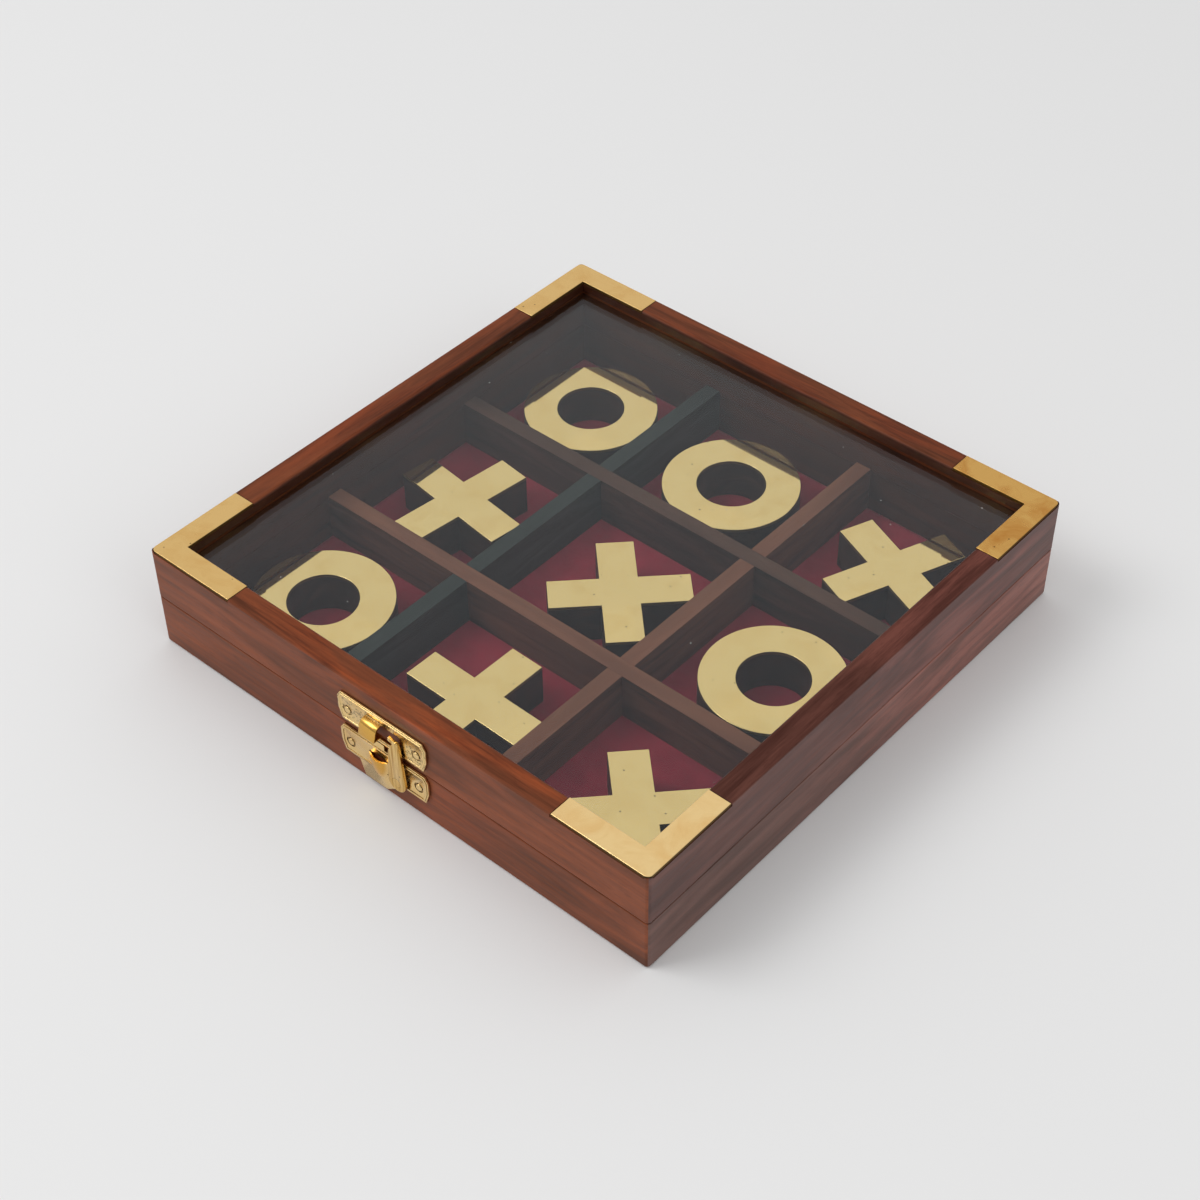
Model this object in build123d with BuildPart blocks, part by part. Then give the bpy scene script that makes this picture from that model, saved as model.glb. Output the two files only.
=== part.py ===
from build123d import *

import os
from math import cos, radians, sin, sqrt

# A wooden tic-tac-toe box in millimetres, closed, standing on z = 0. Its middle is at x = y = 0,
# the clasp is on the front (-Y) side and the hinges are on the back (+Y) side.

# Case: two frames of four mitred rails. No rounding takes more than its share of the wall beside it
box_width = 177.8
box_depth = 177.8
wall = 7.5
base_height = 17.2
parting_gap = 0.15
lid_height = 17.05
corner_radius = 1.2
foot_round = 1.0
top_round = 0.5
parting_round = 0.4
fit_gap = 0.1
round_share = 0.9

# Bottom panel, let into the base rails from below, and the felt on it
panel_thickness = 2.6
panel_let_in = 3.5
felt_thickness = 1.0

# Dividers: two each way, halved over each other, their ends housed in the base rails
divider_thickness = 5.0
divider_height = 15.0
divider_spacing = 56.8
housing_depth = 1.5
housing_gap = 0.05
lid_sweep_gap = 0.3

# Glass, held in a groove in the lid rails
glass_depth = 3.3
glass_thickness = 2.0
groove_depth = 3.2
groove_gap = 0.05
inner_round = 1.2

# Brass corner plates, let into the top of the lid
plate_leg = 31.0
plate_inset = 0.2
plate_thickness = 1.0
plate_proud = 0.1
plate_corner_radius = 1.6
plate_edge_round = 0.2

# Butt hinges, their leaves let into the two frames
hinge_inset = 36.9
leaf_length = 22.0
leaf_reach = 6.0
leaf_thickness = 0.9
knuckle_radius = 1.6
knuckle_clearance = 0.1
knuckle_gap = 0.15
pin_radius = 0.7
pin_gap = 0.05
pin_head_radius = 1.1
pin_head_length = 0.6
pin_head_round = 0.35
screw_spacing = 12.0
screw_head_radius = 1.5
screw_head_depth = 0.7
screw_radius = 0.8
screw_length = 6.0
screw_slot_width = 0.4
screw_slot_depth = 0.3
screw_slot_turn = 25

# Clasp: a catch plate on the lid, a latch plate on the base
clasp_width = 31.8
clasp_thickness = 0.8
catch_plate_height = 9.8
latch_plate_height = 9.6
clasp_seam_gap = 2.0
latch_seam_gap = 0.2
end_cut = 1.2
end_cut_height = 1.8
rim_inset = 0.5
rim_width = 0.5
rim_height = 0.2
lobe_left = -9.6
lobe_right = 8.0
lobe_taper = 1.8
lobe_drop = 5.2
tab_left = -8.0
tab_right = 0.4
tab_rise = 2.0
nail_spacing = 24.8
nail_drop = 0.5
nail_radius = 0.5
nail_gap = 0.03
nail_length = 5.0
nail_head_radius = 1.15
nail_head_height = 0.5
nail_head_round = 0.4
nail_dimple_radius = 1.6
nail_dimple_depth = 0.3

# Hood of the catch, bent out of its plate. Its lip turns back in below the lever's nose, which is what
# keeps the lid shut
hood_left = -5.3
hood_width = 5.8
hood_shelf_drop = 2.2
hood_shelf_reach = 3.0
hood_lip_reach = 4.2
hood_lip_drop = 4.4
hood_return_gap = 0.2
tongue_thickness = 0.6
tongue_bend = 2.0
window_right = 6.6
window_drop = 8.4

# Scoop pressed out of the latch plate below a sheared slot, open above
scoop_middle = -1.95
scoop_width = 7.2
scoop_length = 7.9
scoop_reach = 1.6
scoop_rise = 5.7
scoop_slot_height = 0.5
scoop_ledge = 0.1

# Swing lever on its rivet
pivot_x = 5.6
pivot_rise = 2.4
lever_standoff = 0.6
lever_thickness = 0.9
lever_eye_radius = 3.1
lever_shoulder_radius = 2.2
lever_shoulder_rise = 10.6
lever_tip_radius = 0.9
lever_tip_shift = 0.7
lever_length = 14.7
lever_round = 0.3
latch_turn = 18
nose_hold = 1.5
nose_height = 1.3
nose_gap = 0.15
rivet_radius = 1.0
rivet_gap = 0.05
rivet_shoulder_radius = 1.3
rivet_head_radius = 1.5
rivet_head_depth = 0.4
rivet_root = 3.0

# Playing pieces: a wooden block with a brass face on it
block_height = 12.0
face_thickness = 1.0
face_round = 0.15
ring_diameter = 40.7
ring_hole = 20.3
cross_span = 40.5
cross_arm = 10.9
cell_gap = 0.2

# Each piece's form, the column and row of its cell, its place in the cell's play from -1 to 1 each
# way, and its turn in degrees
layout = {
    "back_left": ("ring", -1, 1, 0.85, -1.0, 0),
    "back_middle": ("ring", 0, 1, 0.45, -1.0, 0),
    "back_right": ("cross", 1, 1, 0.85, -0.8, 68),
    "middle_left": ("cross", -1, 0, 0.75, -1.0, 83),
    "centre": ("cross", 0, 0, 1.0, -0.6, 45),
    "middle_right": ("ring", 1, 0, 1.0, -0.7, 0),
    "front_left": ("ring", -1, -1, 0.75, -0.95, 0),
    "front_middle": ("cross", 0, -1, 1.0, -1.0, 89),
    "front_right": ("cross", 1, -1, 1.0, -1.0, 46),
}

# Places worked out from the sizes above
half_x = box_width / 2
half_y = box_depth / 2
inner_x = half_x - wall
inner_y = half_y - wall
felt_top = panel_thickness + felt_thickness
lid_bottom = base_height + parting_gap
lid_top = lid_bottom + lid_height
glass_top = lid_top - glass_depth
glass_bottom = glass_top - glass_thickness
hinge_spacing = box_width - 2 * hinge_inset
hinge_y = half_y + knuckle_clearance + knuckle_radius
hinge_z = base_height + parting_gap / 2
catch_bottom = lid_bottom + clasp_seam_gap
catch_top = catch_bottom + catch_plate_height
latch_top = base_height - latch_seam_gap
latch_bottom = latch_top - latch_plate_height
pivot_z = latch_bottom + pivot_rise
front = Plane(origin=(0, -half_y, 0), x_dir=(1, 0, 0), z_dir=(0, -1, 0))


def save(piece, name):
    """Labels a finished piece and writes it."""
    piece.part.label = name
    export_step(piece.part, f"parts/{name}.step")


os.makedirs("parts", exist_ok=True)

# Plan outlines of the four rails of a frame, mitred at the corners
rail_outlines = {
    "front": [(-half_x, -half_y), (half_x, -half_y), (inner_x, -inner_y), (-inner_x, -inner_y)],
    "right": [(half_x, -half_y), (half_x, half_y), (inner_x, inner_y), (inner_x, -inner_y)],
    "back": [(half_x, half_y), (-half_x, half_y), (-inner_x, inner_y), (inner_x, inner_y)],
    "left": [(-half_x, half_y), (-half_x, -half_y), (-inner_x, -inner_y), (-inner_x, inner_y)],
}


def case_block(bottom, height, low_round, high_round):
    """The outer form of one half of the case, solid, with its edges rounded."""
    with BuildPart() as block:
        with BuildSketch(Plane.XY.offset(bottom)):
            RectangleRounded(box_width, box_depth, corner_radius)
        extrude(amount=height)
        fillet(block.faces().sort_by(Axis.Z)[0].edges(), min(low_round, round_share * corner_radius))
        fillet(block.faces().sort_by(Axis.Z)[-1].edges(), min(high_round, round_share * corner_radius))
    return block.part


def leaf_places():
    """Where the middles of the two hinges are along the back."""
    return Locations((-hinge_spacing / 2, half_y), (hinge_spacing / 2, half_y))


def screw_places():
    """Where the hinge screws are in plan."""
    y = half_y - leaf_reach / 2
    shift = screw_spacing / 2
    middles = (-hinge_spacing / 2, hinge_spacing / 2)
    return Locations(*[(x + side, y) for x in middles for side in (-shift, shift)])


# Room cut in the frames for the hinges
with BuildPart() as base_hinge_room:
    with BuildSketch(Plane.XY.offset(base_height - leaf_thickness)):
        with leaf_places():
            Rectangle(leaf_length + 2 * fit_gap, 2 * leaf_reach + 2 * fit_gap)
    extrude(amount=leaf_thickness)
    with BuildSketch(Plane.XY.offset(base_height)):
        with screw_places():
            Circle(screw_radius + nail_gap)
    extrude(amount=-(screw_length + fit_gap))

with BuildPart() as lid_hinge_room:
    with BuildSketch(Plane.XY.offset(lid_bottom)):
        with leaf_places():
            Rectangle(leaf_length + 2 * fit_gap, 2 * leaf_reach + 2 * fit_gap)
    extrude(amount=leaf_thickness)
    with BuildSketch(Plane.XY.offset(lid_bottom)):
        with screw_places():
            Circle(screw_radius + nail_gap)
    extrude(amount=screw_length + fit_gap)


def nail_places(z):
    """Where the two nails of a clasp plate are, seen from the front."""
    return Locations((-nail_spacing / 2, z), (nail_spacing / 2, z))


catch_nail_z = (catch_bottom + catch_top) / 2 - nail_drop
latch_nail_z = (latch_bottom + latch_top) / 2 - nail_drop

with BuildPart() as catch_nail_room:
    with BuildSketch(front):
        with nail_places(catch_nail_z):
            Circle(nail_radius + nail_gap)
    extrude(amount=-(nail_length + fit_gap))

with BuildPart() as latch_nail_room:
    with BuildSketch(front):
        with nail_places(latch_nail_z):
            Circle(nail_radius + nail_gap)
    extrude(amount=-(nail_length + fit_gap))
    with BuildSketch(front):
        with Locations((pivot_x, pivot_z)):
            Circle(rivet_radius + nail_gap)
    extrude(amount=-(rivet_root + fit_gap))

# Base rails
base_block = case_block(0, base_height, foot_round, parting_round)
housed_x = 2 * (inner_x + housing_depth)
housed_y = 2 * (inner_y + housing_depth)
housing_width = divider_thickness + 2 * housing_gap

for side, outline in rail_outlines.items():
    with BuildPart() as base_rail:
        with BuildSketch():
            Polygon(*outline, align=None)
        extrude(amount=base_height)
        add(base_block, mode=Mode.INTERSECT)
        # The rebate for the bottom panel
        with BuildSketch():
            Rectangle(2 * (inner_x + panel_let_in), 2 * (inner_y + panel_let_in))
        extrude(amount=panel_thickness, mode=Mode.SUBTRACT)
        # The housings for the dividers' ends
        with BuildSketch(Plane.XY.offset(felt_top)):
            with GridLocations(divider_spacing, 0, 2, 1):
                Rectangle(housing_width, housed_y)
            with GridLocations(0, divider_spacing, 1, 2):
                Rectangle(housed_x, housing_width)
        extrude(amount=base_height, mode=Mode.SUBTRACT)
        if side == "back":
            add(base_hinge_room.part, mode=Mode.SUBTRACT)
        if side == "front":
            add(latch_nail_room.part, mode=Mode.SUBTRACT)
    save(base_rail, f"base_{side}_rail")

with BuildPart() as bottom_panel:
    with BuildSketch():
        Rectangle(2 * (inner_x + panel_let_in - fit_gap), 2 * (inner_y + panel_let_in - fit_gap))
    extrude(amount=panel_thickness)
save(bottom_panel, "bottom_panel")

with BuildPart() as felt_lining:
    with BuildSketch(Plane.XY.offset(panel_thickness)):
        Rectangle(2 * (inner_x - fit_gap), 2 * (inner_y - fit_gap))
    extrude(amount=felt_thickness)
save(felt_lining, "felt_lining")

# Dividers: those that run front to back are cut from above, the others from below
notch_width = divider_thickness + 2 * housing_gap
low_height = min(base_height - felt_top, divider_height)
notch_depth = divider_height / 2

for name, side in {"divider_left": -1, "divider_right": 1}.items():
    x = side * divider_spacing / 2
    with BuildPart() as divider:
        with BuildSketch(Plane.XY.offset(felt_top)):
            with Locations((x, 0)):
                Rectangle(divider_thickness, housed_y - 2 * fit_gap)
        extrude(amount=low_height)
        with BuildSketch(Plane.XY.offset(felt_top)):
            with Locations((x, 0)):
                Rectangle(divider_thickness, 2 * (inner_y - lid_sweep_gap))
        extrude(amount=divider_height)
        with BuildSketch(Plane.XY.offset(felt_top + notch_depth)):
            with Locations((x, -divider_spacing / 2), (x, divider_spacing / 2)):
                Rectangle(2 * divider_thickness, notch_width)
        extrude(amount=divider_height, mode=Mode.SUBTRACT)
    save(divider, name)

for name, side in {"divider_front": -1, "divider_back": 1}.items():
    y = side * divider_spacing / 2
    with BuildPart() as divider:
        with BuildSketch(Plane.XY.offset(felt_top)):
            with Locations((0, y)):
                Rectangle(housed_x - 2 * fit_gap, divider_thickness)
        extrude(amount=low_height)
        with BuildSketch(Plane.XY.offset(felt_top)):
            with Locations((0, y)):
                Rectangle(2 * (inner_x - lid_sweep_gap), divider_thickness)
        extrude(amount=divider_height)
        with BuildSketch(Plane.XY.offset(felt_top)):
            with Locations((-divider_spacing / 2, y), (divider_spacing / 2, y)):
                Rectangle(notch_width, 2 * divider_thickness)
        extrude(amount=notch_depth, mode=Mode.SUBTRACT)
    save(divider, name)

# Lid rails
lid_block = case_block(lid_bottom, lid_height, parting_round, top_round)
plate_recess = plate_thickness - plate_proud
plate_width = wall - 2 * plate_inset


def corner_sketch(side_x, side_y, grow):
    """An L along two sides of the lid's top, grown by a clearance all round."""
    corner_x = side_x * (half_x - plate_inset + grow)
    corner_y = side_y * (half_y - plate_inset + grow)
    leg = plate_leg + 2 * grow
    width = plate_width + 2 * grow
    with BuildSketch(Plane.XY.offset(lid_top - plate_recess)) as sketch:
        with Locations((corner_x - side_x * leg / 2, corner_y - side_y * width / 2)):
            Rectangle(leg, width)
        with Locations((corner_x - side_x * width / 2, corner_y - side_y * leg / 2)):
            Rectangle(width, leg)
        outer = sketch.vertices().sort_by_distance((corner_x, corner_y, 0))[0]
        fillet(outer, plate_corner_radius)
    return sketch.sketch


corners = {"front_left": (-1, -1), "front_right": (1, -1), "back_right": (1, 1), "back_left": (-1, 1)}

for side, outline in rail_outlines.items():
    with BuildPart() as lid_rail:
        with BuildSketch(Plane.XY.offset(lid_bottom)):
            Polygon(*outline, align=None)
        extrude(amount=lid_height)
        # The worn edge above the glass
        run = Axis.X if side in ("front", "back") else Axis.Y
        top_edges = lid_rail.edges().filter_by(run).group_by(Axis.Z)[-1]
        fillet(top_edges.sort_by_distance((0, 0, lid_top))[0], inner_round)
        add(lid_block, mode=Mode.INTERSECT)
        # The groove for the glass
        with BuildSketch(Plane.XY.offset(glass_bottom - groove_gap)):
            Rectangle(2 * (inner_x + groove_depth), 2 * (inner_y + groove_depth))
        extrude(amount=glass_thickness + 2 * groove_gap, mode=Mode.SUBTRACT)
        # The recesses for the corner plates
        for side_x, side_y in corners.values():
            extrude(corner_sketch(side_x, side_y, plate_inset), amount=plate_thickness, mode=Mode.SUBTRACT)
        if side == "back":
            add(lid_hinge_room.part, mode=Mode.SUBTRACT)
        if side == "front":
            add(catch_nail_room.part, mode=Mode.SUBTRACT)
    save(lid_rail, f"lid_{side}_rail")

with BuildPart() as glass_panel:
    with BuildSketch(Plane.XY.offset(glass_bottom)):
        Rectangle(2 * (inner_x + groove_depth - fit_gap), 2 * (inner_y + groove_depth - fit_gap))
    extrude(amount=glass_thickness)
save(glass_panel, "glass_panel")

for name, (side_x, side_y) in corners.items():
    with BuildPart() as corner_plate:
        extrude(corner_sketch(side_x, side_y, 0), amount=plate_thickness)
        fillet(corner_plate.faces().sort_by(Axis.Z)[-1].edges(), plate_edge_round)
    save(corner_plate, f"corner_plate_{name}")

# Hinges
knuckle_length = leaf_length / 3 - knuckle_gap


def knuckle_shifts(middle):
    """The middles of a leaf's knuckles along the hinge: one in the middle or one at each end."""
    return [0] if middle else [-leaf_length / 3, leaf_length / 3]


def hinge_leaf(x, plate_bottom, middle):
    """One leaf of a hinge, lying in its frame, with its knuckles round the pin."""
    with BuildPart() as leaf:
        with BuildSketch(Plane.XY.offset(plate_bottom)):
            with Locations((x, half_y - leaf_reach / 2)):
                Rectangle(leaf_length, leaf_reach)
            with Locations(*[(x + shift, (half_y + hinge_y) / 2) for shift in knuckle_shifts(middle)]):
                Rectangle(knuckle_length, hinge_y - half_y)
        extrude(amount=leaf_thickness)
        for shift in knuckle_shifts(middle):
            with BuildSketch(Plane.YZ.offset(x + shift - knuckle_length / 2)):
                with Locations((hinge_y, hinge_z)):
                    Circle(knuckle_radius)
            extrude(amount=knuckle_length)
        with BuildSketch(Plane.YZ.offset(x - leaf_length)):
            with Locations((hinge_y, hinge_z)):
                Circle(pin_radius + pin_gap)
        extrude(amount=2 * leaf_length, mode=Mode.SUBTRACT)
        # The countersinks for the screws
        face = plate_bottom + leaf_thickness if plate_bottom < hinge_z else plate_bottom
        inward = -1 if plate_bottom < hinge_z else 1
        for shift in (-screw_spacing / 2, screw_spacing / 2):
            with BuildSketch(Plane.XY.offset(face)):
                with Locations((x + shift, half_y - leaf_reach / 2)):
                    Circle(screw_head_radius + nail_gap)
            with BuildSketch(Plane.XY.offset(face + inward * screw_head_depth)):
                with Locations((x + shift, half_y - leaf_reach / 2)):
                    Circle(screw_radius + nail_gap)
            loft(mode=Mode.SUBTRACT)
            with BuildSketch(Plane.XY.offset(face)):
                with Locations((x + shift, half_y - leaf_reach / 2)):
                    Circle(screw_radius + nail_gap)
            extrude(amount=inward * 2 * leaf_thickness, mode=Mode.SUBTRACT)
    return leaf


def hinge_pin(x):
    """The pin through both leaves, with a domed head at each end."""
    half_length = leaf_length / 2 + fit_gap
    with BuildPart() as pin:
        with BuildSketch(Plane.YZ.offset(x - half_length)):
            with Locations((hinge_y, hinge_z)):
                Circle(pin_radius)
        extrude(amount=2 * half_length)
        for end in (-1, 1):
            with BuildSketch(Plane.YZ.offset(x + end * half_length)):
                with Locations((hinge_y, hinge_z)):
                    Circle(pin_head_radius)
            extrude(amount=end * pin_head_length)
        heads = pin.edges().filter_by(GeomType.CIRCLE).group_by(Axis.X)
        fillet(heads[0] + heads[-1], min(pin_head_round, round_share * pin_head_length))
    return pin


def hinge_screws(face, inward):
    """The countersunk screws of one frame's leaves, driven from the parting face."""
    with BuildPart() as screws:
        for x in (-hinge_spacing / 2, hinge_spacing / 2):
            for shift in (-screw_spacing / 2, screw_spacing / 2):
                place = (x + shift, half_y - leaf_reach / 2)
                with BuildSketch(Plane.XY.offset(face)):
                    with Locations(place):
                        Circle(screw_head_radius)
                with BuildSketch(Plane.XY.offset(face + inward * screw_head_depth)):
                    with Locations(place):
                        Circle(screw_radius)
                loft()
                with BuildSketch(Plane.XY.offset(face + inward * screw_head_depth / 2)):
                    with Locations(place):
                        Circle(screw_radius)
                extrude(amount=inward * (screw_length - screw_head_depth / 2))
                with BuildSketch(Plane.XY.offset(face)):
                    with Locations(place):
                        Rectangle(2 * screw_head_radius, screw_slot_width, rotation=screw_slot_turn)
                extrude(amount=inward * screw_slot_depth, mode=Mode.SUBTRACT)
    return screws


for name, side in {"left": -1, "right": 1}.items():
    x = side * hinge_spacing / 2
    save(hinge_leaf(x, base_height - leaf_thickness, False), f"hinge_{name}_base_leaf")
    save(hinge_leaf(x, lid_bottom, True), f"hinge_{name}_lid_leaf")
    save(hinge_pin(x), f"hinge_{name}_pin")
save(hinge_screws(base_height, -1), "hinge_base_screws")
save(hinge_screws(lid_bottom, 1), "hinge_lid_screws")


def clasp_outline(bottom, top):
    """The outline of a clasp plate: a strip with its ends cut to blunt points."""
    half = clasp_width / 2
    return [
        (-half + end_cut, top), (-half, top - end_cut_height), (-half, bottom + 2 * end_cut_height),
        (-half + end_cut, bottom), (half - end_cut, bottom), (half, bottom + 2 * end_cut_height),
        (half, top - end_cut_height), (half - end_cut, top),
    ]


def raised_rim(bottom, top):
    """The line stamped up along the edge of a clasp plate."""
    with BuildSketch(front.offset(clasp_thickness)) as rim:
        Polygon(*clasp_outline(bottom, top), align=None)
        offset(amount=-rim_inset, kind=Kind.INTERSECTION)
        with BuildSketch(mode=Mode.PRIVATE) as field:
            Polygon(*clasp_outline(bottom, top), align=None)
            offset(amount=-rim_inset - rim_width, kind=Kind.INTERSECTION)
        add(field.sketch, mode=Mode.SUBTRACT)
    return rim.sketch


def bent_strip(x, points, inner):
    """The section of a strip bent out of a plate, from (out, up) points, its bend rounded on both sides."""
    with BuildSketch(Plane.YZ.offset(x)) as section:
        with BuildLine():
            Polyline(*[(-half_y - out, up) for out, up in points], close=True)
        make_face()
        bends = ((points[1], tongue_bend), (inner, tongue_bend - tongue_thickness))
        for (bend_out, bend_up), radius in bends:
            bend = section.vertices().sort_by_distance((-half_y - bend_out, bend_up, 0))[0]
            fillet(bend, radius)
    return section.sketch


def nail_dimples(z):
    """The round dimples that the nails' heads sit in."""
    with BuildSketch(front.offset(clasp_thickness)) as dimples:
        with nail_places(z):
            Circle(nail_dimple_radius)
    return dimples.sketch


# Catch plate: the hood is bent out of its window
hood_top = catch_top - hood_shelf_drop
lip_bottom = hood_top - hood_lip_drop
return_out = clasp_thickness + hood_return_gap
hood_section = [
    (0, hood_top),
    (hood_shelf_reach, hood_top),
    (hood_lip_reach, lip_bottom),
    (return_out, lip_bottom),
    (return_out, lip_bottom + tongue_thickness),
    (hood_lip_reach - tongue_thickness, lip_bottom + tongue_thickness),
    (hood_shelf_reach - tongue_thickness, hood_top - tongue_thickness),
    (0, hood_top - tongue_thickness),
]

with BuildPart() as catch_plate:
    with BuildSketch(front):
        Polygon(*clasp_outline(catch_bottom, catch_top), align=None)
    extrude(amount=clasp_thickness)
    extrude(raised_rim(catch_bottom, catch_top), amount=rim_height)
    window_top = hood_top - tongue_thickness
    window_bottom = catch_top - window_drop
    with BuildSketch(front):
        with Locations(((hood_left + window_right) / 2, (window_top + window_bottom) / 2)):
            Rectangle(window_right - hood_left, window_top - window_bottom)
        with nail_places(catch_nail_z):
            Circle(nail_radius + nail_gap)
    extrude(amount=2 * clasp_thickness, mode=Mode.SUBTRACT)
    extrude(nail_dimples(catch_nail_z), amount=-nail_dimple_depth, mode=Mode.SUBTRACT)
    extrude(bent_strip(hood_left, hood_section, hood_section[-2]), amount=hood_width)
save(catch_plate, "catch_plate")

# Latch plate: a lobe below, a tab above, and a scoop under its slot. The scoop is the part of an
# egg-shaped shell that stands out of the plate, with the shell's middle behind it
lobe_bottom = latch_bottom - lobe_drop
scoop_mouth = latch_bottom + scoop_rise
shell_radius = ((scoop_width / 2) ** 2 + scoop_reach**2) / (2 * scoop_reach)
shell_height = scoop_length * shell_radius / (scoop_width / 2)
shell_depth = shell_radius - scoop_reach
hollow_radius = shell_radius - tongue_thickness
hollow_height = shell_height - tongue_thickness
hole_half = sqrt(hollow_radius**2 - shell_depth**2) - scoop_ledge
hole_height = hole_half * hollow_height / hollow_radius
shell_axis = Axis((scoop_middle, -half_y - clasp_thickness + shell_depth, 0), (0, 0, -1))

with BuildPart() as scoop:
    with BuildSketch(front.offset(clasp_thickness - shell_depth)):
        with Locations((scoop_middle, scoop_mouth)):
            Ellipse(shell_radius, shell_height)
            Ellipse(hollow_radius, hollow_height, mode=Mode.SUBTRACT)
            Rectangle(shell_radius, shell_height, align=(Align.MIN, Align.MAX), mode=Mode.INTERSECT)
    revolve(axis=shell_axis, revolution_arc=180)
    split(bisect_by=front.offset(clasp_thickness / 2), keep=Keep.TOP)

with BuildPart() as latch_plate:
    with BuildSketch(front):
        Polygon(*clasp_outline(latch_bottom, latch_top), align=None)
        with BuildLine():
            Polyline(
                (lobe_left, latch_bottom), (lobe_left + lobe_taper, lobe_bottom),
                (0, lobe_bottom), (lobe_right, latch_bottom + rim_inset),
                (lobe_left, latch_bottom + rim_inset),
                close=True,
            )
        make_face()
        with Locations(((tab_left + tab_right) / 2, latch_top + tab_rise / 2 - rim_inset)):
            Rectangle(tab_right - tab_left, tab_rise + 2 * rim_inset)
    extrude(amount=clasp_thickness)
    extrude(raised_rim(latch_bottom, latch_top), amount=rim_height)
    with BuildSketch(front):
        with Locations((scoop_middle, scoop_mouth)):
            Ellipse(hole_half, hole_height)
            Rectangle(2 * hole_half, hole_height, align=(Align.CENTER, Align.MAX), mode=Mode.INTERSECT)
            Rectangle(scoop_width - 2 * scoop_ledge, scoop_slot_height, align=(Align.CENTER, Align.MIN))
        with nail_places(latch_nail_z):
            Circle(nail_radius + nail_gap)
        with Locations((pivot_x, pivot_z)):
            Circle(rivet_radius + nail_gap)
    extrude(amount=2 * clasp_thickness, mode=Mode.SUBTRACT)
    extrude(nail_dimples(latch_nail_z), amount=-nail_dimple_depth, mode=Mode.SUBTRACT)
    add(scoop.part)
save(latch_plate, "latch_plate")


def clasp_nails(z):
    """The two nails of a clasp plate, with low domed heads."""
    seat = clasp_thickness - nail_dimple_depth
    with BuildPart() as nails:
        with BuildSketch(front.offset(seat)):
            with nail_places(z):
                Circle(nail_radius)
        extrude(amount=-(seat + nail_length))
        with BuildSketch(front.offset(seat)):
            with nail_places(z):
                Circle(nail_head_radius)
        extrude(amount=nail_head_height)
        heads = nails.faces().sort_by(Axis.Y)[:2]
        fillet(heads.edges(), min(nail_head_round, round_share * nail_head_height))
    return nails


save(clasp_nails(catch_nail_z), "catch_nails")
save(clasp_nails(latch_nail_z), "latch_nails")

# Swing lever: a tapered plate with a nose that swings in over the hood's turned-in lip. The nose and
# the notch under it are drawn where they hold, and turned back with the lever to where it rests
lever_back = clasp_thickness + lever_standoff
lever_front = lever_back + lever_thickness
held_x = hood_left + hood_width - pivot_x
held_z = lip_bottom - pivot_z
notch_height = tongue_thickness + 2 * nose_gap

with BuildPart() as latch_lever:
    with BuildSketch(front.offset(lever_back)):
        with Locations((pivot_x, pivot_z)):
            Circle(lever_eye_radius)
        with Locations((pivot_x, pivot_z + lever_shoulder_rise)):
            Circle(lever_shoulder_radius)
        with Locations((pivot_x + lever_tip_shift, pivot_z + lever_length)):
            Circle(lever_tip_radius)
        make_hull()
        with Locations(Location((pivot_x, pivot_z), -latch_turn)):
            with Locations((held_x + nose_gap, held_z - nose_gap)):
                Rectangle(2 * nose_hold, notch_height, align=(Align.MAX, Align.MIN), mode=Mode.SUBTRACT)
            with Locations((held_x - nose_hold, held_z - nose_gap + notch_height)):
                Rectangle(2 * nose_hold, nose_height, align=Align.MIN)
    extrude(amount=lever_thickness)
    fillet(latch_lever.faces().sort_by(Axis.Y)[0].edges(), min(lever_round, round_share * lever_thickness))
    with BuildSketch(front.offset(lever_back)):
        with Locations((pivot_x, pivot_z)):
            Circle(rivet_radius + rivet_gap)
    extrude(amount=lever_thickness, mode=Mode.SUBTRACT)
    with BuildSketch(front.offset(lever_front)):
        with Locations((pivot_x, pivot_z)):
            Circle(rivet_head_radius + rivet_gap)
    extrude(amount=-(rivet_head_depth + rivet_gap), mode=Mode.SUBTRACT)
save(latch_lever, "latch_lever")

with BuildPart() as latch_rivet:
    with BuildSketch(front.offset(-rivet_root)):
        with Locations((pivot_x, pivot_z)):
            Circle(rivet_radius)
    extrude(amount=rivet_root + lever_front)
    with BuildSketch(front.offset(clasp_thickness)):
        with Locations((pivot_x, pivot_z)):
            Circle(rivet_shoulder_radius)
    extrude(amount=lever_standoff - rivet_gap)
    with BuildSketch(front.offset(lever_front)):
        with Locations((pivot_x, pivot_z)):
            Circle(rivet_head_radius)
    extrude(amount=-rivet_head_depth)
save(latch_rivet, "latch_rivet")


# Playing pieces
def cell(index, inner):
    """The middle and the half width of a row or column of cells, from -1 to 1."""
    if index == 0:
        return 0, (divider_spacing - divider_thickness) / 2
    near = (divider_spacing + divider_thickness) / 2
    return index * (near + inner) / 2, (inner - near) / 2


def half_reach(form, turn):
    """How far a piece reaches each way from its middle."""
    if form == "ring":
        return ring_diameter / 2
    c, s = abs(cos(radians(turn))), abs(sin(radians(turn)))
    return max(cross_span * c + cross_arm * s, cross_span * s + cross_arm * c) / 2


def piece_sketch(form, x, y, z, turn):
    """The plan of a ring or a cross at its place."""
    with BuildSketch(Plane.XY.offset(z)) as plan:
        with Locations(Location((x, y), turn)):
            if form == "ring":
                Circle(ring_diameter / 2)
                Circle(ring_hole / 2, mode=Mode.SUBTRACT)
            else:
                Rectangle(cross_span, cross_arm)
                Rectangle(cross_arm, cross_span)
    return plan.sketch


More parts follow.
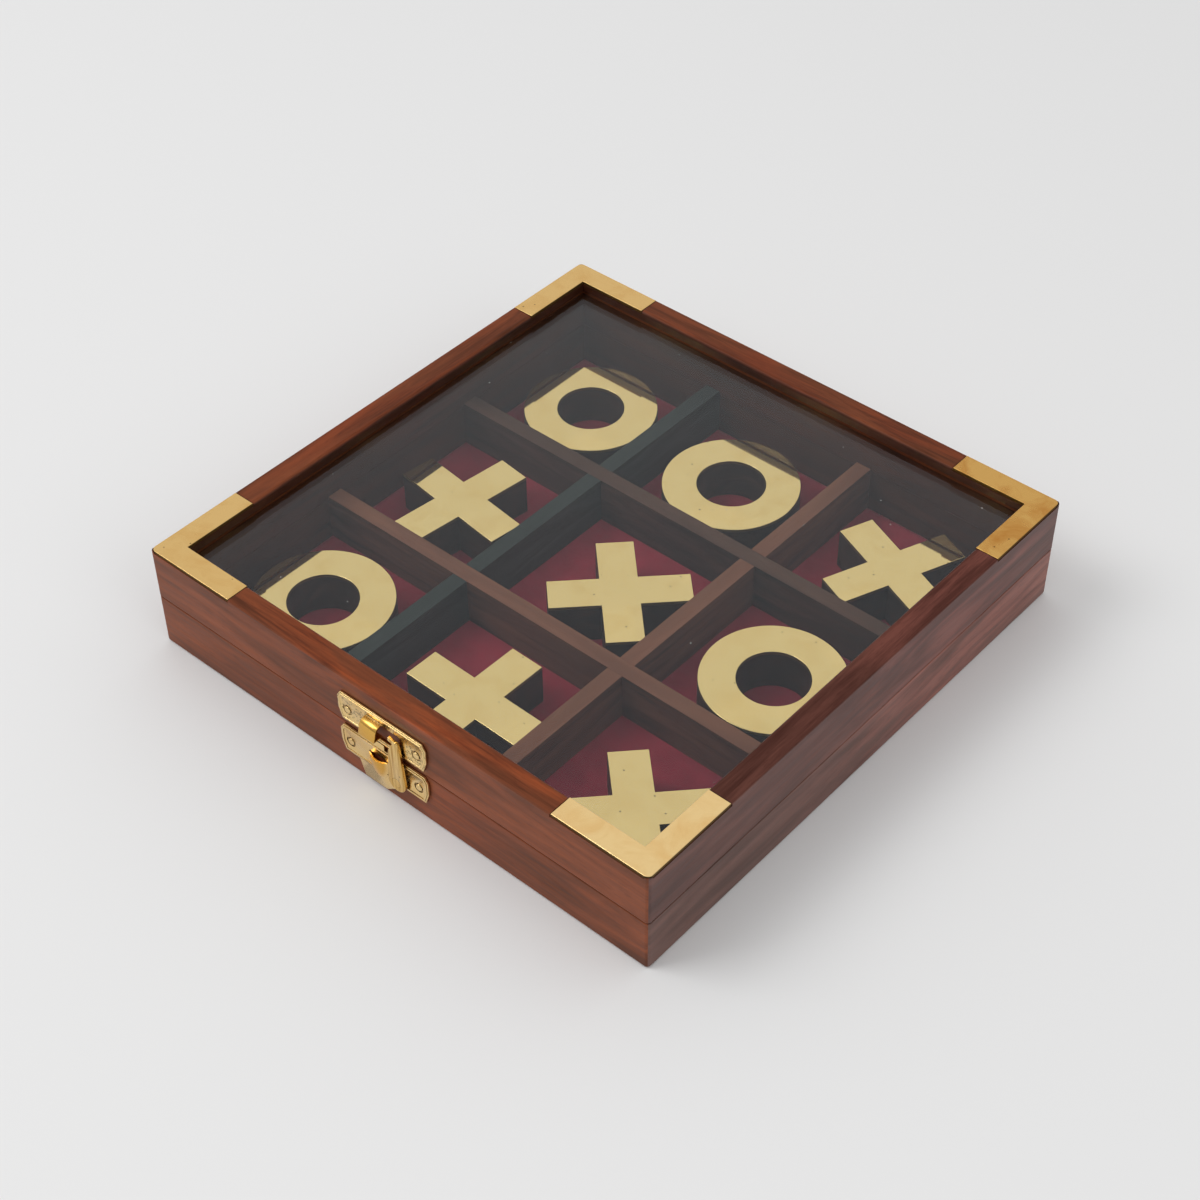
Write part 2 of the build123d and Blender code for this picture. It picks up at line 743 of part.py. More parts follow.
for name, (form, column, row, place_x, place_y, turn) in layout.items():
    middle_x, room_x = cell(column, inner_x)
    middle_y, room_y = cell(row, inner_y)
    x = middle_x + place_x * (room_x - half_reach(form, turn) - cell_gap)
    y = middle_y + place_y * (room_y - half_reach(form, turn) - cell_gap)
    with BuildPart() as block:
        extrude(piece_sketch(form, x, y, felt_top, turn), amount=block_height)
    save(block, f"{form}_{name}_block")
    with BuildPart() as face:
        extrude(piece_sketch(form, x, y, felt_top + block_height, turn), amount=face_thickness)
        fillet(face.faces().sort_by(Axis.Z)[-1].edges(), face_round)
    save(face, f"{form}_{name}_face")
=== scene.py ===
import logging
from dataclasses import dataclass
from enum import Enum
from math import cos, radians, sin, tan

import bmesh
import bpy
from mathutils import Matrix, Vector, noise


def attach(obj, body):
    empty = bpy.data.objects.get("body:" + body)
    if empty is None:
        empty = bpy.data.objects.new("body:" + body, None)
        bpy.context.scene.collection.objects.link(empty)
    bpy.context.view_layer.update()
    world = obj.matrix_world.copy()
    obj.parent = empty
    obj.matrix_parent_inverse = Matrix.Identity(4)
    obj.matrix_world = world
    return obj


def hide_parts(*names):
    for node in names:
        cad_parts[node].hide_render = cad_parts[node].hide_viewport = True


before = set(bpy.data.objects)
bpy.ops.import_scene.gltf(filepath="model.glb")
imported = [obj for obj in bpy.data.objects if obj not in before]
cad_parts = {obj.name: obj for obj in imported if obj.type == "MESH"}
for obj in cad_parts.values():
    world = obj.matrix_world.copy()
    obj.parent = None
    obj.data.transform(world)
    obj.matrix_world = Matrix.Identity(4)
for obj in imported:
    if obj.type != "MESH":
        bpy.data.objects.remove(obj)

log = logging.getLogger("box")

MM = 0.001

# The low and the high end of a smooth noise
NOISE_SPAN = (0.3, 0.7)
# How far up a face looks, from a side to a top, as the height of its normal
TOP_SPAN = (0.4, 0.9)


# Small helpers


def srgb(code: str, alpha: float = 1.0) -> tuple[float, float, float, float]:
    """Turns an sRGB hex colour into Blender's linear one.

    Args:
        code: Six hex digits, with or without a leading hash.
        alpha: The fourth value of the result.

    Returns:
        Red, green, blue and alpha, linear.
    """
    digits = code.lstrip("#")
    values = [int(digits[i:i + 2], 16) / 255 for i in (0, 2, 4)]
    linear = [v / 12.92 if v <= 0.04045 else ((v + 0.055) / 1.055) ** 2.4 for v in values]
    return (*linear, alpha)


def add_node(tree: bpy.types.NodeTree, kind: str, settings: dict | None = None,
             links: dict | None = None, stops: list | None = None) -> bpy.types.Node:
    """Adds a shader node with its settings and links.

    Args:
        tree: The node tree that gets the node.
        kind: The node's type name.
        settings: Properties by name, and values of unlinked inputs by name or index.
        links: The outputs that feed the node's inputs, by input name or index.
        stops: Place and colour of each stop, for a colour ramp.

    Returns:
        The new node.
    """
    made = tree.nodes.new(kind)
    for key, value in (settings or {}).items():
        if isinstance(key, str) and key in made.bl_rna.properties:
            setattr(made, key, value)
        else:
            made.inputs[key].default_value = value
    for key, output in (links or {}).items():
        tree.links.new(output, made.inputs[key])
    if stops:
        ramp = made.color_ramp.elements
        while len(ramp) < len(stops):
            ramp.new(1.0)
        for element, (place, colour) in zip(ramp, stops):
            element.position = place
            element.color = colour
    return made


def map_range(tree: bpy.types.NodeTree, value: bpy.types.NodeSocket, span: tuple[float, float],
              result: tuple[float, float], curve: str = "LINEAR") -> bpy.types.NodeSocket:
    """Maps a value from one range to another, held at both ends.

    Args:
        tree: The node tree.
        value: The value.
        span: Where the value starts and ends.
        result: What it becomes at the start and at the end.
        curve: The kind of curve between the two.

    Returns:
        The mapped value.
    """
    return add_node(tree, "ShaderNodeMapRange",
                    {"interpolation_type": curve, "From Min": span[0], "From Max": span[1],
                     "To Min": result[0], "To Max": result[1]},
                    {"Value": value}).outputs["Result"]


def maths(tree: bpy.types.NodeTree, operation: str,
          *terms: bpy.types.NodeSocket | float) -> bpy.types.NodeSocket:
    """Works out one operation on values.

    Args:
        tree: The node tree.
        operation: The operation of Blender's math node.
        terms: What it works on, outputs of other nodes or numbers.

    Returns:
        The result.
    """
    settings, links = {"operation": operation}, {}
    for index, term in enumerate(terms):
        (links if isinstance(term, bpy.types.NodeSocket) else settings)[index] = term
    return add_node(tree, "ShaderNodeMath", settings, links).outputs["Value"]


def cover(tree: bpy.types.NodeTree, under: bpy.types.NodeSocket, over: str,
          share: bpy.types.NodeSocket) -> bpy.types.NodeSocket:
    """Lays one plain colour over another colour.

    Args:
        tree: The node tree.
        under: The colour below.
        over: The colour on top, in sRGB hex.
        share: How much of it covers the other, 0 to 1.

    Returns:
        The mixed colour.
    """
    return add_node(tree, "ShaderNodeMix", {"data_type": "RGBA", 7: srgb(over)},
                    {0: share, 6: under}).outputs[2]


def noise_level(tree: bpy.types.NodeTree, place: bpy.types.NodeSocket, scale: float, detail: float,
                roughness: float = 0.5, distortion: float = 0.0) -> bpy.types.NodeSocket:
    """Draws a noise.

    Args:
        tree: The node tree.
        place: The coordinates.
        scale: How many of its clouds fit in one unit of the coordinates.
        detail: The number of finer layers.
        roughness: How strong those are.
        distortion: How far the clouds are dragged about.

    Returns:
        The noise, about 0.5 on average.
    """
    return add_node(tree, "ShaderNodeTexNoise",
                    {"Scale": scale, "Detail": detail, "Roughness": roughness,
                     "Distortion": distortion},
                    {"Vector": place}).outputs["Fac"]


def spot_distance(tree: bpy.types.NodeTree, place: bpy.types.NodeSocket,
                  spacing: float) -> bpy.types.NodeSocket:
    """Scatters spots and measures how far the nearest one is.

    Args:
        tree: The node tree.
        place: The coordinates.
        spacing: About how far the spots are apart, in millimetres.

    Returns:
        The distance, as a share of the spacing.
    """
    return add_node(tree, "ShaderNodeTexVoronoi", {"Scale": 1 / (spacing * MM)},
                    {"Vector": place}).outputs["Distance"]


def split(tree: bpy.types.NodeTree, vector: bpy.types.NodeSocket) -> bpy.types.Node:
    """Splits a vector.

    Args:
        tree: The node tree.
        vector: The vector.

    Returns:
        The node whose outputs are its X, Y and Z.
    """
    return add_node(tree, "ShaderNodeSeparateXYZ", {}, {"Vector": vector})


def new_material(name: str) -> tuple[bpy.types.Material, bpy.types.NodeTree]:
    """Makes an empty node material.

    Args:
        name: The material's name.

    Returns:
        The material and its cleared node tree.
    """
    material = bpy.data.materials.new(name)
    material.use_nodes = True
    material.node_tree.nodes.clear()
    return material, material.node_tree


def object_place(tree: bpy.types.NodeTree) -> bpy.types.NodeSocket:
    """Gives the object coordinates.

    Args:
        tree: The material's node tree.

    Returns:
        The coordinates, in metres.
    """
    return add_node(tree, "ShaderNodeTexCoord").outputs["Object"]


def show(tree: bpy.types.NodeTree, surface: bpy.types.NodeSocket) -> None:
    """Makes a shader the material's surface.

    Args:
        tree: The material's node tree.
        surface: The shader's output.
    """
    add_node(tree, "ShaderNodeOutputMaterial", {}, {"Surface": surface})


def dress(obj: bpy.types.Object, material: bpy.types.Material) -> None:
    """Puts one material on the whole of an object.

    Args:
        obj: A mesh object, a CAD node or a new piece.
        material: Its finish.
    """
    if not obj.material_slots:
        obj.data.materials.append(material)
    for slot in obj.material_slots:
        slot.material = material


def add_piece(name: str, bm: bmesh.types.BMesh) -> bpy.types.Object:
    """Links a new piece into the scene, unturned at the origin, and frees its BMesh.

    Args:
        name: The piece's name.
        bm: Its finished shape, in place.

    Returns:
        The new object.
    """
    mesh = bpy.data.meshes.new(name)
    bm.to_mesh(mesh)
    bm.free()
    obj = bpy.data.objects.new(name, mesh)
    bpy.context.scene.collection.objects.link(obj)
    return obj


# Finishes


class Grain(Enum):
    """The axis that a board's grain or a sheet's buffing lines run along."""

    ALONG_X = 0
    ALONG_Y = 1
    ALONG_Z = 2


@dataclass(frozen=True)
class GrainPattern:
    """A noise stretched along the grain, with its length and width in millimetres."""

    length: float
    width: float
    detail: float = 2.0
    roughness: float = 0.5
    distortion: float = 0.0
    # Keeps this pattern apart from the others of its board, in pattern units
    apart: float = 0.0

    def draw(self, tree: bpy.types.NodeTree, place: bpy.types.NodeSocket, grain: Grain,
             shift: tuple[float, float, float] = (0.0, 0.0, 0.0)) -> bpy.types.NodeSocket:
        """Draws the pattern.

        Args:
            tree: The material's node tree.
            place: The object coordinates.
            grain: The way the grain runs.
            shift: Where in the tree the board is cut from, in pattern units.

        Returns:
            The noise.
        """
        scale = [1 / (self.width * MM)] * 3
        scale[grain.value] = 1 / (self.length * MM)
        space = add_node(tree, "ShaderNodeMapping",
                         {"Scale": tuple(scale),
                          "Location": tuple(value + self.apart for value in shift)},
                         {"Vector": place}).outputs["Vector"]
        return noise_level(tree, space, 1.0, self.detail, self.roughness, self.distortion)


@dataclass(frozen=True)
class Sheesham:
    """Sheesham, an Indian rosewood, planed and wiped with oil.

    The eye sees long dark and orange-red bands along the grain, short dark pores and a satin
    sheen that is duller on the tops.
    """

    name: str
    dark: str = "5c321d"
    middle: str = "7e442a"
    light: str = "945031"
    red_dark: str = "642e1c"
    red_light: str = "9a4626"
    # The levels of the bands' noise that get the colours, from dark to light
    band_levels: tuple[float, float, float] = (0.34, 0.50, 0.66)
    red_levels: tuple[float, float] = (0.40, 0.58)
    red_share: float = 0.5
    # From which level of the patches' noise the red begins, and how much further on it is full
    red_from: float = 0.4
    red_rise: float = 0.22
    # Where along the grain the red heartwood lies, and how far it reaches each way from there. It
    # is full over the core's share of that reach, and this much of it is left beyond the reach
    heart_at: float = 0.0
    heart_reach: float = 60.0
    heart_core: float = 0.25
    heart_beyond: float = 0.2
    # The red shows from this height up, where the board's top cuts into the heartwood. Over the
    # fade it drops to what is left of it below
    heart_bottom: float = 0.0
    heart_fade: float = 1.5
    heart_below: float = 0.1
    # Faces nearer the middle of the box than this are darkened by a painted shade
    inside: float = 81.9
    inside_fade: float = 0.4
    painted_inside_shade: float = 0.78
    painted_inside_shade_colour: str = "120a07"
    figure: GrainPattern = GrainPattern(48.0, 5.5, detail=5.0, roughness=0.55, distortion=0.9)
    streak: GrainPattern = GrainPattern(12.0, 0.6, detail=3.0, roughness=0.6, distortion=0.3,
                                        apart=3.0)
    patch: GrainPattern = GrainPattern(45.0, 9.0, distortion=0.4, apart=11.0)
    # Real pores are 0.2 mm wide: drawn twice as coarse, to show at this distance
    pore: GrainPattern = GrainPattern(3.5, 0.4, apart=7.0)
    pore_levels: tuple[float, float] = (0.56, 0.70)
    pore_share: float = 0.35
    streak_share: float = 0.30
    roughness: float = 0.42
    # How far the roughness goes below and above that from streak to streak
    roughness_spread: tuple[float, float] = (-0.06, 0.10)
    shine: float = 0.22
    # The tops are rubbed dull by hands. Their colour is also mixed towards the top colour by the
    # share below: a painted shade where that colour is darker, as on the rails, and a painted
    # light where it is lighter, as on the dividers
    top_shine: float = 0.08
    painted_top_shading: float = 0.3
    painted_top_shading_colour: str = "2a120a"
    relief: float = 0.12
    relief_height: float = 0.05

    def heartwood(self, tree: bpy.types.NodeTree, grain: Grain, place: bpy.types.NodeSocket,
                  patch: bpy.types.NodeSocket) -> bpy.types.NodeSocket:
        """Masks the red heartwood: patches that fade along the grain and below the board's top.

        Args:
            tree: The material's node tree.
            grain: The way the grain runs.
            place: The object coordinates.
            patch: The noise of the patches.

        Returns:
            The mask, 0 to the finish's share of red.
        """
        parts = split(tree, place)
        away = maths(tree, "SUBTRACT", parts.outputs[grain.value], self.heart_at * MM)
        along = map_range(tree, maths(tree, "ABSOLUTE", away),
                          (self.heart_core * self.heart_reach * MM, self.heart_reach * MM),
                          (1.0, self.heart_beyond), "SMOOTHSTEP")
        above = map_range(tree, parts.outputs["Z"],
                          ((self.heart_bottom - self.heart_fade) * MM, self.heart_bottom * MM),
                          (self.heart_below, 1.0))
        patches = map_range(tree, patch, (self.red_from, self.red_from + self.red_rise),
                            (0.0, self.red_share))
        return maths(tree, "MULTIPLY", maths(tree, "MULTIPLY", along, above), patches)

    def painted_inner_shade(self, tree: bpy.types.NodeTree,
                    place: bpy.types.NodeSocket) -> bpy.types.NodeSocket:
        """Masks the faces on the inside of the box, which get a painted shade.

        Args:
            tree: The material's node tree.
            place: The object coordinates.

        Returns:
            The mask, 0 to the finish's share of painted shade on the inside.
        """
        parts = split(tree, place)
        out = maths(tree, "MAXIMUM", maths(tree, "ABSOLUTE", parts.outputs["X"]),
                    maths(tree, "ABSOLUTE", parts.outputs["Y"]))
        return map_range(tree, out, ((self.inside - self.inside_fade) * MM, self.inside * MM),
                         (self.painted_inside_shade, 0.0))

    def build(self, grain: Grain, shift: tuple[float, float, float]) -> bpy.types.Material:
        """Makes the wood for boards of one direction.

        Args:
            grain: The way the grain runs.
            shift: Where in the tree the board is cut from, in pattern units.

        Returns:
            The material.
        """
        material, tree = new_material(f"{self.name}_{grain.name.lower()}_{int(shift[0])}")
        place = object_place(tree)
        figure, streak, pore, patch = (
            pattern.draw(tree, place, grain, shift)
            for pattern in (self.figure, self.streak, self.pore, self.patch))
        bands = add_node(tree, "ShaderNodeMix", {"data_type": "FLOAT", 0: self.streak_share},
                         {2: figure, 3: streak}).outputs[0]
        colour = add_node(tree, "ShaderNodeValToRGB", {}, {"Fac": bands},
                          list(zip(self.band_levels,
                                   map(srgb, (self.dark, self.middle, self.light)))))
        red = add_node(tree, "ShaderNodeValToRGB", {}, {"Fac": bands},
                       list(zip(self.red_levels, map(srgb, (self.red_dark, self.red_light)))))
        warm = add_node(tree, "ShaderNodeMix", {"data_type": "RGBA"},
                        {0: self.heartwood(tree, grain, place, patch),
                         6: colour.outputs["Color"], 7: red.outputs["Color"]}).outputs[2]
        pores = map_range(tree, pore, self.pore_levels, (0.0, self.pore_share))
        pored = cover(tree, warm, self.dark, pores)
        normal = add_node(tree, "ShaderNodeNewGeometry").outputs["Normal"]
        facing = split(tree, normal).outputs["Z"]
        # Painted shade on darker tops and painted light on lighter ones
        top_shaded = cover(tree, pored, self.painted_top_shading_colour,
                       map_range(tree, facing, TOP_SPAN, (0.0, self.painted_top_shading)))
        # Painted shade on the faces inside the box
        final = cover(tree, top_shaded, self.painted_inside_shade_colour, self.painted_inner_shade(tree, place))
        low, high = self.roughness_spread
        gloss = map_range(tree, streak, NOISE_SPAN, (self.roughness + low, self.roughness + high))
        bump = add_node(tree, "ShaderNodeBump",
                        {"Strength": self.relief, "Distance": self.relief_height * MM},
                        {"Height": maths(tree, "MULTIPLY_ADD", pores, -1.0, streak)})
        shine = map_range(tree, facing, TOP_SPAN, (self.shine, self.top_shine))
        shader = add_node(tree, "ShaderNodeBsdfPrincipled", {"IOR": 1.5},
                          {"Base Color": final, "Roughness": gloss, "Specular IOR Level": shine,
                           "Normal": bump.outputs["Normal"]})
        show(tree, shader.outputs["BSDF"])
        return material


@dataclass(frozen=True)
class SheetBrass:
    """Sheet brass, rolled, cut and buffed by hand.

    The eye sees a warm yellow mirror blurred along the buffing lines, with faint orange tarnish
    clouds and small dark pits.
    """

    name: str
    colour: str = "e6bf74"
    tarnish: str = "cf9646"
    tarnish_share: float = 0.5
    tarnish_levels: tuple[float, float] = (0.45, 0.75)
    cloud_size: float = 9.0
    roughness: float = 0.25
    # The roughness goes from the first to the second of these times itself, from cloud to cloud
    roughness_spread: tuple[float, float] = (0.8, 1.3)
    grain: Grain = Grain.ALONG_X
    # Buffing lines are about 0.1 mm apart: drawn as coarse as one pixel, to show at all
    line: GrainPattern = GrainPattern(30.0, 0.35)
    line_depth: float = 0.06
    line_height: float = 0.1
    # How strongly the lines also show as streaks of tarnish
    line_share: float = 0.0
    line_levels: tuple[float, float] = (0.42, 0.62)
    # Small pits: how far apart, how wide as shares of that, and how dark
    pit_spacing: float = 4.5
    pit_levels: tuple[float, float] = (0.04, 0.075)
    pit_share: float = 0.7
    pit_colour: str = "3c2a16"
    # Dots punched into a plate: how dark, how far apart, how wide as shares of that, and how deep
    # in times the buffing lines. Only the plate's flat field has them, at this Y
    stipple: float = 0.0
    stipple_spacing: float = 0.8
    stipple_levels: tuple[float, float] = (0.1, 0.5)
    stipple_height: float = -3.0
    stipple_colour: str = "5e5230"
    field_at: float = -89.7
    field_reach: float = 0.03
    # Painted shade in the corners, darker where the surroundings close in, this far around them
    painted_crevice_shade: float = 0.0
    crevice_reach: float = 0.7
    crevice_samples: int = 8
    crevice_levels: tuple[float, float] = (0.45, 0.95)
    painted_crevice_shade_colour: str = "634522"
    # How far the sheet's cut edges, all faces that don't look up, are darkened by a painted shade
    # that dims their reflections; they are also made rougher
    painted_edge_shade: float = 0.0
    edge_levels: tuple[float, float] = (0.35, 0.97)
    edge_roughness: float = 0.5
    painted_edge_shade_colour: str = "4d3519"
    # The parts of a clasp that stand out from its plates, past this Y, are a deeper gold
    deep_share: float = 0.0
    deep_span: tuple[float, float] = (-90.6, -90.0)
    deep_gold: str = "d9a23c"

    def tarnished(self, tree: bpy.types.NodeTree, place: bpy.types.NodeSocket,
                  clouds: bpy.types.NodeSocket,
                  lines: bpy.types.NodeSocket) -> bpy.types.NodeSocket:
        """Paints the bare metal with its clouds and streaks of tarnish, and its pits.

        Args:
            tree: The material's node tree.
            place: The object coordinates.
            clouds: The noise of the clouds.
            lines: The noise of the buffing lines.

        Returns:
            The colour.
        """
        mask = map_range(tree, clouds, self.tarnish_levels, (0.0, self.tarnish_share))
        if self.line_share:
            streaks = map_range(tree, lines, self.line_levels, (0.0, self.line_share))
            mask = maths(tree, "MAXIMUM", mask, streaks)
        clouded = add_node(tree, "ShaderNodeMix",
                           {"data_type": "RGBA", 6: srgb(self.colour), 7: srgb(self.tarnish)},
                           {0: mask}).outputs[2]
        pits = map_range(tree, spot_distance(tree, place, self.pit_spacing), self.pit_levels,
                         (self.pit_share, 0.0))
        return cover(tree, clouded, self.pit_colour, pits)

    def stippling(self, tree: bpy.types.NodeTree,
                  place: bpy.types.NodeSocket) -> bpy.types.NodeSocket:
        """Masks the dots punched into the flat field of a plate.

        Args:
            tree: The material's node tree.
            place: The object coordinates.

        Returns:
            The mask, 0 to the finish's stipple.
        """
        field = maths(tree, "COMPARE", split(tree, place).outputs["Y"], self.field_at * MM,
                      self.field_reach * MM)
        dents = map_range(tree, spot_distance(tree, place, self.stipple_spacing),
                          self.stipple_levels, (0.0, 1.0))
        shade = maths(tree, "MULTIPLY_ADD", dents, -self.stipple, self.stipple)
        return maths(tree, "MULTIPLY", shade, field)

    def build(self) -> bpy.types.Material:
        """Makes the metal.

        Returns:
            The material.
        """
        material, tree = new_material(self.name)
        place = object_place(tree)
        lines = self.line.draw(tree, place, self.grain)
        clouds = noise_level(tree, place, 1 / (self.cloud_size * MM), 5.0, 0.6, 0.5)
        final = self.tarnished(tree, place, clouds, lines)
        if self.deep_share:
            bent = map_range(tree, split(tree, place).outputs["Y"],
                             tuple(value * MM for value in self.deep_span), (self.deep_share, 0.0))
            final = cover(tree, final, self.deep_gold, bent)
        if self.painted_crevice_shade:
            # Painted shade in the corners, from how closed in each point is
            open_air = add_node(tree, "ShaderNodeAmbientOcclusion",
                                {"samples": self.crevice_samples,
                                 "Distance": self.crevice_reach * MM})
            depth = map_range(tree, open_air.outputs["AO"], self.crevice_levels,
                              (self.painted_crevice_shade, 0.0))
            final = cover(tree, final, self.painted_crevice_shade_colour, depth)
        low, high = self.roughness_spread
        gloss = map_range(tree, clouds, NOISE_SPAN, (low * self.roughness, high * self.roughness))
        # Painted shade on the cut edges, which are also made rougher
        if self.painted_edge_shade:
            normal = add_node(tree, "ShaderNodeNewGeometry").outputs["True Normal"]
            cut = map_range(tree, split(tree, normal).outputs["Z"], self.edge_levels,
                            (self.painted_edge_shade, 0.0))
            final = cover(tree, final, self.painted_edge_shade_colour, cut)
            gloss = maths(tree, "MULTIPLY_ADD", cut, self.edge_roughness, gloss)
        height = lines
        if self.stipple:
            dots = self.stippling(tree, place)
            final = cover(tree, final, self.stipple_colour, dots)
            height = maths(tree, "MULTIPLY_ADD", dots, self.stipple_height, height)
        bump = add_node(tree, "ShaderNodeBump",
                        {"Strength": self.line_depth, "Distance": self.line_height * MM},
                        {"Height": height})
        shader = add_node(tree, "ShaderNodeBsdfPrincipled", {"Metallic": 1.0},
                          {"Base Color": final, "Roughness": gloss,
                           "Normal": bump.outputs["Normal"]})
        show(tree, shader.outputs["BSDF"])
        return material


@dataclass(frozen=True)
class WoolFelt:
    """Wool felt, pressed and dyed maroon.

    The eye sees a matt, faintly mottled cloth with short fibres that catch a soft sheen.
    """

    colour: str = "a82e42"
    shade: str = "832334"
    sheen: str = "b98a92"
    mottle_levels: tuple[float, float] = (0.35, 0.62)
    # Felt fibres are 0.03 mm thick: drawn ten times as coarse, in clumps
    fibre: float = 0.35
    cloud_size: float = 6.0
    cloud_share: float = 0.4
    nap_strength: float = 0.6
    nap_height: float = 0.2

    def build(self) -> bpy.types.Material:
        """Makes the cloth.

        Returns:
            The material.
        """
        material, tree = new_material("wool_felt")
        place = object_place(tree)
        fibre = noise_level(tree, place, 1 / (self.fibre * MM), 3.0, 0.7, 1.5)
        clouds = noise_level(tree, place, 1 / (self.cloud_size * MM), 3.0)
        mottled = add_node(tree, "ShaderNodeMix", {"data_type": "FLOAT", 0: self.cloud_share},
                           {2: fibre, 3: clouds})
        colour = add_node(tree, "ShaderNodeValToRGB", {}, {"Fac": mottled.outputs[0]},
                          list(zip(self.mottle_levels, map(srgb, (self.shade, self.colour)))))
        bump = add_node(tree, "ShaderNodeBump",
                        {"Strength": self.nap_strength, "Distance": self.nap_height * MM},
                        {"Height": fibre})
        shader = add_node(tree, "ShaderNodeBsdfPrincipled",
                          {"Roughness": 0.95, "Specular IOR Level": 0.2, "Sheen Weight": 0.15,
                           "Sheen Roughness": 0.5, "Sheen Tint": srgb(self.sheen)},
                          {"Base Color": colour.outputs["Color"],
                           "Normal": bump.outputs["Normal"]})
        show(tree, shader.outputs["BSDF"])
        return material


@dataclass(frozen=True)
class WindowGlass:
    """Two-millimetre window glass, float made, with a little dust on it.

    The eye sees a clear pane with a pale veil of the room and a few specks. Light that only passes
    through, on its way to what lies below, isn't bent.
    """

    tint: str = "f2f7f4"
    veil: str = "a8acb6"
    index: float = 1.46
    dust: str = "d9d9d6"
    # Specks of dust: how far apart, how wide as shares of that, and how dense
    speck_spacing: float = 10.0
    speck_levels: tuple[float, float] = (0.012, 0.026)
    speck_share: float = 0.6

    def build(self) -> bpy.types.Material:
        """Makes the glass.

        Returns:
            The material.
        """
        material, tree = new_material("window_glass")
        place = object_place(tree)
        pane = add_node(tree, "ShaderNodeBsdfPrincipled",
                        {"Base Color": srgb(self.tint), "Roughness": 0.0, "IOR": self.index,
                         "Transmission Weight": 1.0, "Specular Tint": srgb(self.veil)})
        clear = add_node(tree, "ShaderNodeBsdfTransparent", {"Color": srgb(self.tint)})
        path = add_node(tree, "ShaderNodeLightPath")
        passing = maths(tree, "MAXIMUM", path.outputs["Is Shadow Ray"],
                        path.outputs["Is Diffuse Ray"])
        glass = add_node(tree, "ShaderNodeMixShader", {},
                         {0: passing, 1: pane.outputs["BSDF"], 2: clear.outputs["BSDF"]})
        specks = map_range(tree, spot_distance(tree, place, self.speck_spacing),
                           self.speck_levels, (self.speck_share, 0.0))
        dust = add_node(tree, "ShaderNodeBsdfDiffuse", {"Color": srgb(self.dust)})
        whole = add_node(tree, "ShaderNodeMixShader", {},
                         {0: specks, 1: glass.outputs["Shader"], 2: dust.outputs["BSDF"]})
        show(tree, whole.outputs["Shader"])
        return material


# Sub-assemblies


